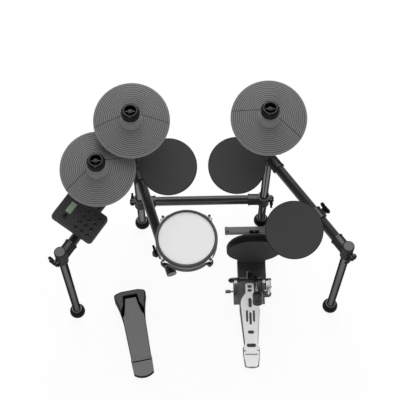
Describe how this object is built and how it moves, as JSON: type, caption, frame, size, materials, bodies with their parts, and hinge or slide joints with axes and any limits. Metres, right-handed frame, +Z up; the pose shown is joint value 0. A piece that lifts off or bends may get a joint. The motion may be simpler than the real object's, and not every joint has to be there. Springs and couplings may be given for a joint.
{
  "type": "electronic drum kit",
  "caption": "Electronic drum kit on a black tube rack, with rubber tom pads, mesh snare, rubber cymbals, kick tower with pedal, hi-hat controller pedal and sound module.",
  "frame": {"origin": "on the floor at the middle of the kit's footprint", "axes": "X to the player's right, Y away from the player, Z up"},
  "size_m": [1.129, 0.8002, 1.0248],
  "materials": {
    "black_tube": "satin black powder coat",
    "black_plastic": "matt black moulding",
    "foot_rubber": "black rubber",
    "bright_steel": "bright chrome",
    "black_steel": "black powder coat",
    "pad_rubber": "dark grey fine-weave rubber",
    "cymbal_rubber": "grey grooved rubber",
    "mesh": "white stretched mesh",
    "module_plastic": "dark matt plastic",
    "screen": "pale green display",
    "button_rubber": "black domed rubber",
    "board_metal": "bright cast aluminium",
    "grey_plastic": "mid grey plastic",
    "dark_plastic": "dark grey plastic"
  },
  "bodies": {
    "rack": {"rear_post_left": "black_tube", "rear_post_right": "black_tube", "left_leg": "black_tube", "right_leg": "black_tube", "crossbar": "black_tube", "left_arm": "black_tube", "right_arm": "black_tube", "snare_arm": "black_tube", "tee_clamps": "black_plastic", "wing_screws": "black_plastic", "rubber_feet": "foot_rubber", "rod_clamps": "black_plastic", "cymbal_rods": "black_steel", "pad_rods": "black_steel", "module_clamp": "black_plastic", "kick_tower": "black_steel", "kick_pad_housing": "black_plastic", "kick_pad": "pad_rubber", "pedal_frame": "black_steel", "heel_plate": "board_metal", "pedal_spring": "bright_steel", "hi_hat_pedal_base": "dark_plastic", "hi_hat_toe_cover": "dark_plastic"},
    "left_tom": {"left_tom_housing": "black_plastic", "left_tom_pad": "pad_rubber"},
    "right_tom": {"right_tom_housing": "black_plastic", "right_tom_pad": "pad_rubber"},
    "floor_tom": {"floor_tom_housing": "black_plastic", "floor_tom_pad": "pad_rubber"},
    "snare": {"snare_shell": "black_plastic", "snare_hoop": "black_steel", "snare_head": "mesh", "snare_lugs": "bright_steel"},
    "hi_hat_tilter": {"hi_hat_stem": "black_plastic"},
    "hi_hat": {"hi_hat_cymbal": "cymbal_rubber"},
    "crash_tilter": {"crash_stem": "black_plastic"},
    "crash": {"crash_cymbal": "cymbal_rubber"},
    "ride_tilter": {"ride_stem": "black_plastic"},
    "ride": {"ride_cymbal": "cymbal_rubber"},
    "module": {"module_case": "module_plastic", "module_back": "module_plastic", "module_screen": "screen"},
    "volume_knob": {"volume_knob": "button_rubber"},
    "button_1": {"button_1": "button_rubber"},
    "button_2": {"button_2": "button_rubber"},
    "button_3": {"button_3": "button_rubber"},
    "button_4": {"button_4": "button_rubber"},
    "button_5": {"button_5": "button_rubber"},
    "button_6": {"button_6": "button_rubber"},
    "button_7": {"button_7": "button_rubber"},
    "button_8": {"button_8": "button_rubber"},
    "button_9": {"button_9": "button_rubber"},
    "button_10": {"button_10": "button_rubber"},
    "button_11": {"button_11": "button_rubber"},
    "button_12": {"button_12": "button_rubber"},
    "kick_footboard": {"footboard": "board_metal", "drive_strap": "button_rubber"},
    "kick_axle": {"pedal_axle": "bright_steel", "beater": "bright_steel"},
    "hi_hat_footboard": {"hi_hat_footboard": "grey_plastic"}
  },
  "joints": [
    {"name": "left_tom_tilt", "type": "hinge", "parent": "rack", "child": "left_tom", "pos_m": [-0.1194, 0.20159, 0.68236], "axis": [1, 0, 0], "range_deg": [-15, 15]},
    {"name": "right_tom_tilt", "type": "hinge", "parent": "rack", "child": "right_tom", "pos_m": [0.1326, 0.20159, 0.68236], "axis": [1, 0, 0], "range_deg": [-15, 15]},
    {"name": "floor_tom_tilt", "type": "hinge", "parent": "rack", "child": "floor_tom", "pos_m": [0.3316, -0.04651, 0.65064], "axis": [1, 0, 0], "range_deg": [-14, 15]},
    {"name": "snare_tilt", "type": "hinge", "parent": "rack", "child": "snare", "pos_m": [-0.06889, -0.04661, 0.63538], "axis": [1, 0, 0], "range_deg": [-10, 15]},
    {"name": "hi_hat_tilt", "type": "hinge", "parent": "rack", "child": "hi_hat_tilter", "pos_m": [-0.36829, 0.11268, 0.764], "axis": [1, 0, 0], "range_deg": [-14, 2]},
    {"name": "hi_hat_rock", "type": "hinge", "parent": "hi_hat_tilter", "child": "hi_hat", "pos_m": [-0.36829, 0.11664, 0.87743], "axis": [1, 0, 0], "range_deg": [-4, 4], "stiffness_Nm_per_rad": 3},
    {"name": "crash_tilt", "type": "hinge", "parent": "rack", "child": "crash_tilter", "pos_m": [-0.2434, 0.2538, 0.859], "axis": [1, 0, 0], "range_deg": [-25, 2]},
    {"name": "crash_rock", "type": "hinge", "parent": "crash_tilter", "child": "crash", "pos_m": [-0.2434, 0.25776, 0.97243], "axis": [1, 0, 0], "range_deg": [-4, 4], "stiffness_Nm_per_rad": 3},
    {"name": "ride_tilt", "type": "hinge", "parent": "rack", "child": "ride_tilter", "pos_m": [0.2426, 0.2538, 0.859], "axis": [1, 0, 0], "range_deg": [-25, 10]},
    {"name": "ride_rock", "type": "hinge", "parent": "ride_tilter", "child": "ride", "pos_m": [0.2426, 0.25776, 0.97243], "axis": [1, 0, 0], "range_deg": [-4, 4], "stiffness_Nm_per_rad": 3},
    {"name": "module_tilt", "type": "hinge", "parent": "rack", "child": "module", "pos_m": [-0.43865, 0.00643, 0.648], "axis": [0.5629, 0.8265, 0], "range_deg": [-12, 20]},
    {"name": "volume_turn", "type": "hinge", "parent": "module", "child": "volume_knob", "pos_m": [-0.49565, 0.00532, 0.71309], "axis": [0.1718, -0.117, 0.9781], "range_deg": [-140, 140]},
    {"name": "button_1_press", "type": "slide", "parent": "module", "child": "button_1", "axis": [-0.1718, 0.117, -0.9781], "range_m": [0, 0.0012], "stiffness_N_per_m": 500, "springref_m": -0.001},
    {"name": "button_2_press", "type": "slide", "parent": "module", "child": "button_2", "axis": [-0.1718, 0.117, -0.9781], "range_m": [0, 0.0012], "stiffness_N_per_m": 500, "springref_m": -0.001},
    {"name": "button_3_press", "type": "slide", "parent": "module", "child": "button_3", "axis": [-0.1718, 0.117, -0.9781], "range_m": [0, 0.0012], "stiffness_N_per_m": 500, "springref_m": -0.001},
    {"name": "button_4_press", "type": "slide", "parent": "module", "child": "button_4", "axis": [-0.1718, 0.117, -0.9781], "range_m": [0, 0.0012], "stiffness_N_per_m": 500, "springref_m": -0.001},
    {"name": "button_5_press", "type": "slide", "parent": "module", "child": "button_5", "axis": [-0.1718, 0.117, -0.9781], "range_m": [0, 0.0012], "stiffness_N_per_m": 500, "springref_m": -0.001},
    {"name": "button_6_press", "type": "slide", "parent": "module", "child": "button_6", "axis": [-0.1718, 0.117, -0.9781], "range_m": [0, 0.0012], "stiffness_N_per_m": 500, "springref_m": -0.001},
    {"name": "button_7_press", "type": "slide", "parent": "module", "child": "button_7", "axis": [-0.1718, 0.117, -0.9781], "range_m": [0, 0.0012], "stiffness_N_per_m": 500, "springref_m": -0.001},
    {"name": "button_8_press", "type": "slide", "parent": "module", "child": "button_8", "axis": [-0.1718, 0.117, -0.9781], "range_m": [0, 0.0012], "stiffness_N_per_m": 500, "springref_m": -0.001},
    {"name": "button_9_press", "type": "slide", "parent": "module", "child": "button_9", "axis": [-0.1718, 0.117, -0.9781], "range_m": [0, 0.0012], "stiffness_N_per_m": 500, "springref_m": -0.001},
    {"name": "button_10_press", "type": "slide", "parent": "module", "child": "button_10", "axis": [-0.1718, 0.117, -0.9781], "range_m": [0, 0.0012], "stiffness_N_per_m": 500, "springref_m": -0.001},
    {"name": "button_11_press", "type": "slide", "parent": "module", "child": "button_11", "axis": [-0.1718, 0.117, -0.9781], "range_m": [0, 0.0012], "stiffness_N_per_m": 500, "springref_m": -0.001},
    {"name": "button_12_press", "type": "slide", "parent": "module", "child": "button_12", "axis": [-0.1718, 0.117, -0.9781], "range_m": [0, 0.0012], "stiffness_N_per_m": 500, "springref_m": -0.001},
    {"name": "kick_press", "type": "hinge", "parent": "rack", "child": "kick_footboard", "pos_m": [0.1961, -0.3112, 0.026], "axis": [1, 0, 0], "range_deg": [-6.75, 0], "stiffness_Nm_per_rad": 12, "springref_deg": 8.59, "deforming": ["drive_strap"]},
    {"name": "beater_swing", "type": "hinge", "parent": "rack", "child": "kick_axle", "pos_m": [0.1961, -0.0282, 0.11], "axis": [1, 0, 0], "range_deg": [-65, 0.5], "deforming": ["pedal_spring"]},
    {"name": "hi_hat_press", "type": "hinge", "parent": "rack", "child": "hi_hat_footboard", "pos_m": [-0.25103, -0.32832, 0.02], "axis": [0.9845, 0.1754, 0], "range_deg": [-5, 0], "stiffness_Nm_per_rad": 25, "springref_deg": 4.58}
  ],
  "couplings": [
    {"joint": "beater_swing", "follows": "kick_press", "ratio": 9.5498}
  ]
}
